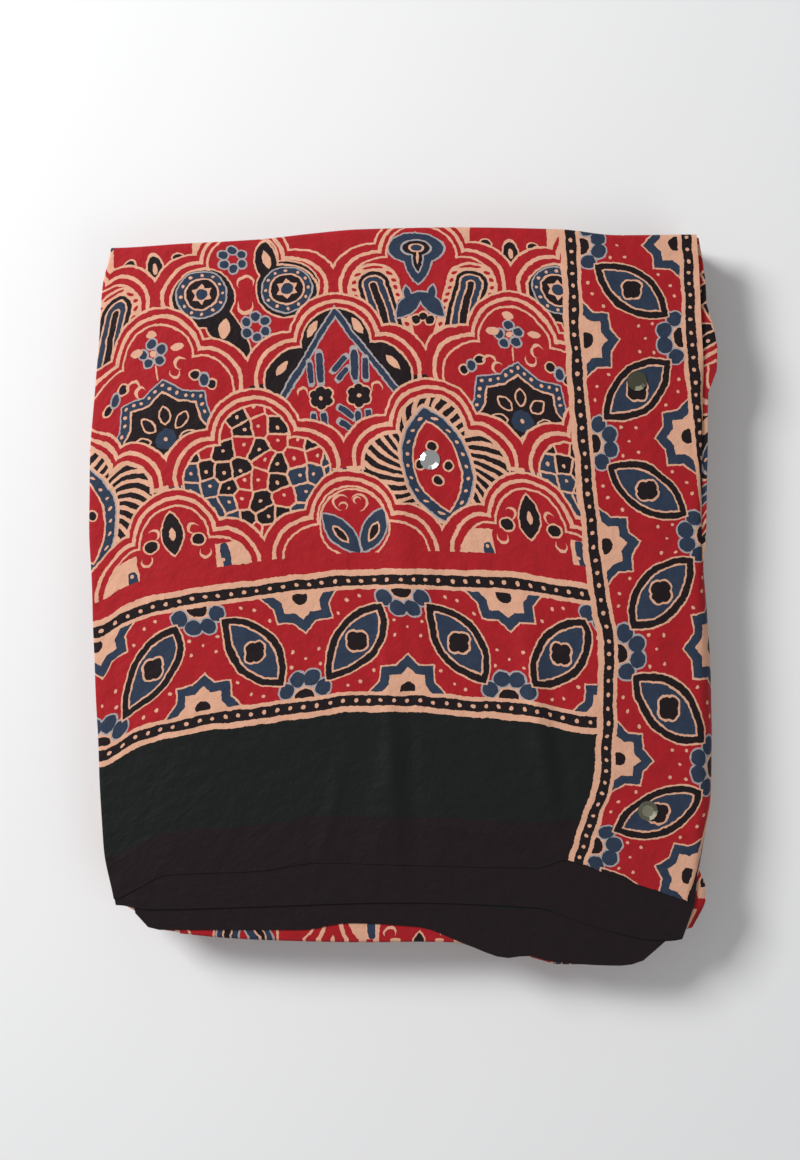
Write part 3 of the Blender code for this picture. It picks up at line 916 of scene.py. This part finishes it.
def eye_coat(point, inner, coat):
    """The great eye round the sewn mirror, with its lashes."""
    depth = leaf(point, 0.15, 8.9, 3.5, 6.1, 8)
    local = vector("SUBTRACT", point, (0.15, 8.9, 0))
    across, down = split(local)
    angle = across.math("ARCTAN2", down)
    reach = length(local)
    lashes = (angle * 5.2 + reach * 0.55 + 20).math("PINGPONG", 0.5)
    ground = (inner < 0.1) * (length(point) < 40)
    coat = choose(ground, PEACH, coat)
    lash = (lashes < 0.28) * (depth < -0.25) * (inner < -0.3) * ground
    coat = choose(lash, BLACK, coat)
    coat = banded(coat, depth, ((0.0, PALE), (0.15, INDIGO), (1.1, PEACH), (1.3, MADDER)))
    lobes = highest([disc(point, -0.15, 6.95, 0.6), disc(point, -1.45, 8.8, 0.6),
                     disc(point, 1.25, 8.85, 0.6), disc(point, 0.15, 10.35, 0.6)])
    coat = banded(coat, lobes, OUTLINED_BLACK)
    dot = disc(pair(down.math("PINGPONG", 0.6), depth), 0, 0.62, 0.17)
    return choose(dot > 0, PEACH, coat)


def roof_ground(point, inner, coat):
    """The black under the scale's lines, and the two slopes of the roof."""
    slope = vector("DOT_PRODUCT", point, (0.822, -0.57, 0), output=1) + 1.2
    here = length(point) < 40
    coat = choose((inner < 0) * (slope > 0) * here, BLACK, coat)
    edge = (0.42 - abs(slope)) * here - (1 - here) * 9
    edge = edge.math("MINIMUM", 6.1 - split(point)[0])
    return banded(coat, edge, OUTLINED_INDIGO)


def bud_sides(point, inner, coat):
    x, y = split(point)
    here = length(point) < 40
    side = (abs(x) > 3.9) * (inner < 0) * here * (y > 6)
    coat = choose(side, PEACH, coat)
    both = vector("ABSOLUTE", point)
    slanted = bar(point, -4.4, 8.9, 0.45, 1.6, 8).math("MAXIMUM", bar(point, 4.9, 7.6, 0.45, 1.6, 8))
    coat = banded(coat, slanted, ((0.0, INDIGO),))
    coat = choose(disc(both, 6.5, 9.0, 0.65) > 0, BLACK, coat)
    dot = highest([disc(both, 6.5, 9.0, 0.2), disc(both, 4.6, 7.7, 0.18), disc(both, 4.75, 9.0, 0.18)])
    return choose(dot * here > 0, PEACH, coat)


def pebble_coat(point, inner, coat):
    """Pebbles of three inks, each with a dot."""
    tree = point.tree
    here = (length(point) < 40) * (inner < -0.1)
    size = {"Scale": 0.56, "Randomness": 0.6}
    edge = node(tree, "TexVoronoi", {"Vector": point, **size}, feature="DISTANCE_TO_EDGE",
                voronoi_dimensions="2D")
    cell = node(tree, "TexVoronoi", {"Vector": point, **size}, voronoi_dimensions="2D")
    middle = vector("ABSOLUTE", cell.other("Position"))
    ink = choose(cell.other("Color") > 0.5, BLACK, MADDER)
    ink = choose(distance(middle, (8.9, 13.88)) < 6.9, INDIGO, ink)
    ink = choose(edge < 0.06, PEACH, ink)
    ink = choose(cell < 0.1, PEACH, ink)
    return choose(here, ink, coat)


def hoop_coat(point, coat):
    """The drop in the middle, and a hoop at either side."""
    drop = oval(point, -0.46, 4.4, 3.0, 1.85).math("MAXIMUM", leaf(point, -0.4, 5.5, 1.5, 3.1))
    coat = banded(coat, drop, ((0.0, PALE), (0.15, INDIGO), (0.85, PALE), (1.0, BLACK), (1.35, PEACH),
                               (1.5, INDIGO)))
    both = vector("ABSOLUTE", point)
    x, y = split(both)
    down = y - 8.55
    hoop = 2.6 - length(pair(x - 4.85 + down.math("MAXIMUM", 0) * 0.25, down.math("MINIMUM", 0)))
    coat = banded(coat, hoop, ((0.0, PEACH), (0.95, BLACK), (1.35, PEACH), (1.55, INDIGO),
                               (2.1, PEACH), (2.25, BLACK)))
    dot = disc(pair(y.math("PINGPONG", 0.4), hoop), 0, 0.5, 0.22)
    return choose(dot > 0, MADDER, coat)


# The inks' colours, where they lie thick and where they lie thin.
INK_COLOURS = (
    ((0.41, 0.011, 0.018, 1), (0.29, 0.011, 0.014, 1)),
    ((0.0085, 0.0055, 0.0068, 1), (0.015, 0.008, 0.009, 1)),
    ((0.72, 0.40, 0.27, 1), (0.60, 0.31, 0.20, 1)),
    ((0.016, 0.028, 0.056, 1), (0.031, 0.046, 0.076, 1)),
    ((0.42, 0.36, 0.35, 1), (0.3, 0.26, 0.27, 1)),
)


# Between a line near the cut end and the border, the top ply's plain black end is coloured this lighter,
# greener black.
GREEN_BLACK = (0.0082, 0.0095, 0.0086, 1)
END_TONE_LINE = 4.8


def cloth_material():
    """The block print, in the print's own coordinates, with its inks, weave and wear."""
    made = bpy.data.materials.new("block_printed_cloth")
    made.use_nodes = True
    tree = made.node_tree
    shader = tree.nodes["Principled BSDF"]
    place = node(tree, "UVMap", uv_map="Print")
    point = vector("SCALE", place)
    point.socket.node.inputs["Scale"].default_value = 1 / (BLOCK * MM)
    drift = node(tree, "TexNoise", {"Vector": point, "Scale": 0.35, "Detail": 1.0}, output=1)
    point = vector("ADD", point, vector("MULTIPLY_ADD", drift, (0.5, 0.5, 0), (-0.25, -0.25, 0)))
    jitter = node(tree, "TexNoise", {"Vector": point, "Scale": 2.2, "Detail": 1.0}, output=1)
    point = vector("ADD", point, vector("MULTIPLY_ADD", jitter, (0.22, 0.22, 0), (-0.11, -0.11, 0)))
    u, v = split(point)
    width = 4 * PLY_WIDTH / BLOCK
    second = u > width / 2
    u = (width / 2) - abs(u - width / 2)
    dark_end = DARK_END / BLOCK
    field_start = dark_end + BORDER
    beside = (u < BORDER) * (v > second * 10)
    along = choose(beside, 28.0 - v, 38.5 - u)
    across = choose(beside, BORDER - u, field_start - v)
    border = border_coat(along, across)
    coat = choose(v > field_start, field_coat(u, v), choose(v > dark_end, border, BLACK))
    coat = choose(beside, border, coat)
    thick, thin = (node(tree, "ValToRGB", {0: coat},
                        stops=[(0.2 * i, ink[part]) for i, ink in enumerate(INK_COLOURS)])
                   for part in (0, 1))
    mottle = node(tree, "TexNoise", {"Vector": point, "Scale": 0.8, "Detail": 3.0})
    colour = choose(mottle, thin, thick, "RGBA")
    # The lighter, greener black of the top ply's plain end, from the tone line up to the border.
    plain_end = (v < dark_end) * (v > END_TONE_LINE) * (1 - beside) * (1 - second)
    colour = choose(plain_end, GREEN_BLACK, colour, "RGBA")
    tree.links.new(colour.socket, shader.inputs["Base Color"])
    shader.inputs["Roughness"].default_value = 0.62
    shader.inputs["Specular IOR Level"].default_value = 0.12
    shader.inputs["Sheen Weight"].default_value = 0.04
    puckers = node(tree, "TexNoise", {"Vector": point, "Scale": 0.45, "Detail": 4.0, "Roughness": 0.6})
    weave = node(tree, "TexNoise", {"Vector": point, "Scale": 9.0, "Detail": 2.0})
    bump = node(tree, "Bump", {"Strength": 1.0, "Distance": 0.0011, "Height": puckers + weave * 0.08})
    tree.links.new(bump.socket, shader.inputs["Normal"])
    return made


def mirror_material(name, colour, roughness):
    made = bpy.data.materials.new(name)
    made.use_nodes = True
    shader = made.node_tree.nodes["Principled BSDF"]
    shader.inputs["Base Color"].default_value = (*colour, 1)
    shader.inputs["Metallic"].default_value = 1.0
    shader.inputs["Roughness"].default_value = roughness
    return made


# The sewn mirrors: where they lie, which way their faces lean, and how bright they look. Their colours hold
# painted reflection: the field's mirror is bright silver, and the two in the border are painted a dark
# olive.
Mirror = namedtuple("Mirror", "node x y lean colour")
MIRRORS = (
    Mirror("mirror_field", 12.4, 63.9, (-0.5, 0.25), (0.9, 0.91, 0.88)),
    Mirror("mirror_border_far", 109.3, 100.9, (0.1, -0.1), (0.2, 0.19, 0.13)),
    Mirror("mirror_border_near", 114.4, -100.4, (-0.2, 0.15), (0.3, 0.29, 0.21)),
)
MIRROR_RADIUS, MIRROR_TABLE, MIRROR_HEIGHT, MIRROR_FACETS = 4.7, 2.7, 1.1, 14


def build_mirror(mirror):
    """A round mirror with a flat table and a rim of facets."""
    base = layer_middle(0) + 1.5 * PLY_PITCH + relief(mirror.x, mirror.y) + 0.3
    slope = [(relief(mirror.x + dx, mirror.y + dy) - relief(mirror.x - dx, mirror.y - dy)) / 10
             for dx, dy in ((5, 0), (0, 5))]
    points = []
    for radius, height in ((MIRROR_RADIUS, 0.0), (MIRROR_RADIUS, 0.35), (MIRROR_TABLE, MIRROR_HEIGHT)):
        for facet in range(MIRROR_FACETS):
            angle = 2 * math.pi * facet / MIRROR_FACETS
            x, y = radius * math.cos(angle), radius * math.sin(angle)
            lean = 0.12 * (x * mirror.lean[0] + y * mirror.lean[1]) if height == MIRROR_HEIGHT else 0.0
            z = base + height + x * slope[0] + y * slope[1] + lean
            points.append(((mirror.x + x) * MM, (mirror.y + y) * MM, z * MM))
    n = MIRROR_FACETS
    faces = [tuple(range(n - 1, -1, -1)), tuple(range(2 * n, 3 * n))]
    for ring in (0, n):
        for facet in range(n):
            after = (facet + 1) % n
            faces.append((ring + facet, ring + after, ring + n + after, ring + n + facet))
    mesh = bpy.data.meshes.new(mirror.node + "_facets")
    mesh.from_pydata(points, [], faces)
    # The metal colour is painted reflection: bright silver for the field's mirror, dark olive for the two
    # border mirrors.
    mesh.materials.append(mirror_material(mirror.node + "_silvering", mirror.colour, 0.12))
    made = bpy.data.objects.new(mirror.node + "_facets", mesh)
    bpy.context.scene.collection.objects.link(made)
    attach(made, "root")
    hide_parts(mirror.node)


def add_piece(name, points, prints, material):
    made = finished(name, sheet_mesh(name, points, prints), material)
    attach(made, "root")
    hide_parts("cloth")
    return made


def build_cloth():
    material = cloth_material()
    flat, print_at = top_ply()
    fold, fold_at = left_fold_columns(flat, print_at)
    points = np.concatenate([flat, fold], axis=1)
    prints = np.concatenate([print_at, fold_at], axis=1)
    more, more_at = far_turn_rows(points, prints)
    points = np.concatenate([points, more], axis=0)
    prints = np.concatenate([prints, more_at], axis=0)
    add_piece("top_ply", points, prints, material)
    points, prints = stretch(0, 0.0, 1, 0.5, bundle_columns(False, PLY_SHARES))
    add_piece("end_plies", points, prints, material)
    full = bundle_columns(True, LOWER_SHARES)
    for first in range(1, LAST, 2):
        last = min(first + 2, LAST)
        points, prints = stretch(first, 0.5, last, 0.5 if last < LAST else 1.0, full)
        add_piece(f"folds_{first:02d}", points, prints, material)
    for mirror in MIRRORS:
        build_mirror(mirror)


def build_stage():
    """The plain pale floor, the soft lights and the camera straight above."""
    floor_mesh = bpy.data.meshes.new("floor")
    bm = bmesh.new()
    bmesh.ops.create_grid(bm, x_segments=1, y_segments=1, size=3.0)
    bm.to_mesh(floor_mesh)
    bm.free()
    floor = bpy.data.objects.new("floor", floor_mesh)
    bpy.context.scene.collection.objects.link(floor)
    pale = bpy.data.materials.new("pale_floor")
    pale.use_nodes = True
    pale.node_tree.nodes["Principled BSDF"].inputs["Base Color"].default_value = (0.8, 0.8, 0.8, 1)
    pale.node_tree.nodes["Principled BSDF"].inputs["Roughness"].default_value = 0.9
    floor_mesh.materials.append(pale)
    world = bpy.data.worlds.new("studio")
    world.use_nodes = True
    world.node_tree.nodes["Background"].inputs["Color"].default_value = (0.95, 0.97, 1.0, 1)
    world.node_tree.nodes["Background"].inputs["Strength"].default_value = 0.3
    bpy.context.scene.world = world
    lights = (("key_light", (-1.2, 0.75, 1.1), 0.6, 34), ("fill_light", (0.9, -0.8, 1.4), 1.2, 5))
    for name, at, size, power in lights:
        light = bpy.data.lights.new(name, "AREA")
        light.size = size
        light.energy = power
        lamp = bpy.data.objects.new(name, light)
        bpy.context.scene.collection.objects.link(lamp)
        lamp.location = at
        lamp.rotation_euler = (-Vector(at)).to_track_quat("-Z", "Y").to_euler()
    camera = bpy.data.cameras.new("camera")
    camera.sensor_fit = "VERTICAL"
    camera.sensor_height = 36.0
    height, frame_height = 0.95, 0.5429
    camera.lens = 36.0 * height / frame_height
    eye = bpy.data.objects.new("camera", camera)
    eye.location = (-0.00164, 0.0077, height + 0.03)
    bpy.context.scene.collection.objects.link(eye)
    bpy.context.scene.camera = eye
    bpy.context.scene.view_settings.view_transform = "Standard"


build_cloth()
build_stage()
